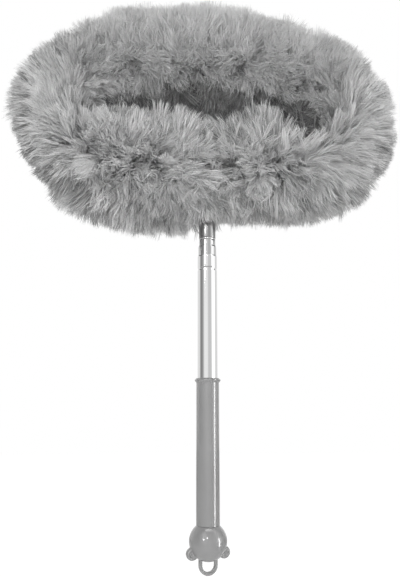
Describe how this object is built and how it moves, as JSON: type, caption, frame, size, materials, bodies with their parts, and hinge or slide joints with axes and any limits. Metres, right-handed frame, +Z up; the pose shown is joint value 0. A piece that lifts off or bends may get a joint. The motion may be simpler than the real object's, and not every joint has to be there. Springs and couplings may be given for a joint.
{
  "type": "ceiling fan duster",
  "caption": "Telescoping steel pole with a moulded grip and a hanging eye, carrying an oval loop of long soft pile on a friction knuckle.",
  "frame": {"origin": "middle of the grip, on the pole's axis", "axes": "+Z up the pole from the grip to the loop, +X across the loop to its right as the picture shows it, +Y to the back, so that the loop's front faces -Y"},
  "size_m": [0.4194, 0.1674, 0.5922],
  "materials": {
    "grey_plastic": "gloss",
    "dark_plastic": "satin",
    "nylon": "satin",
    "polished_steel": "polished",
    "zinc_steel": "satin",
    "foam": "matte",
    "pile": "matte"
  },
  "bodies": {
    "handle": {"grip_sleeve": "grey_plastic", "end_ball": "grey_plastic", "hanging_eye": "grey_plastic", "outer_tube": "polished_steel"},
    "middle_section": {"middle_tube": "polished_steel", "middle_bush": "nylon"},
    "inner_section": {"inner_tube": "polished_steel", "inner_bush": "nylon", "inner_plug": "zinc_steel"},
    "stem": {"stem_collar": "polished_steel", "swivel_washer": "nylon", "swivel_screw": "zinc_steel", "knuckle_fork": "dark_plastic", "knuckle_screw": "zinc_steel", "knuckle_nut": "zinc_steel", "friction_washer_left": "nylon", "friction_washer_right": "nylon"},
    "head_loop": {"yoke_back": "dark_plastic", "yoke_front": "dark_plastic", "yoke_screw_left": "zinc_steel", "yoke_screw_right": "zinc_steel", "loop_wire": "zinc_steel", "foam_core": "foam", "pile_neck": "pile", "pile_right_1": "pile", "pile_right_2": "pile", "pile_right_3": "pile", "pile_right_4": "pile", "pile_right_5": "pile", "pile_right_6": "pile", "pile_top": "pile", "pile_left_1": "pile", "pile_left_2": "pile", "pile_left_3": "pile", "pile_left_4": "pile", "pile_left_5": "pile", "pile_left_6": "pile"}
  },
  "joints": [
    {"name": "middle_slide", "type": "slide", "parent": "handle", "child": "middle_section", "axis": [0, 0, 1], "range_m": [0, 0.209]},
    {"name": "inner_slide", "type": "slide", "parent": "middle_section", "child": "inner_section", "axis": [0, 0, 1], "range_m": [0, 0.22]},
    {"name": "head_turn", "type": "hinge", "parent": "inner_section", "child": "stem", "pos_m": [0, 0, 0.2022], "axis": [0, 0, 1], "continuous": true},
    {"name": "head_tilt", "type": "hinge", "parent": "stem", "child": "head_loop", "pos_m": [0, 0, 0.2319], "axis": [-1, 0, 0], "range_deg": [-15, 30]}
  ]
}
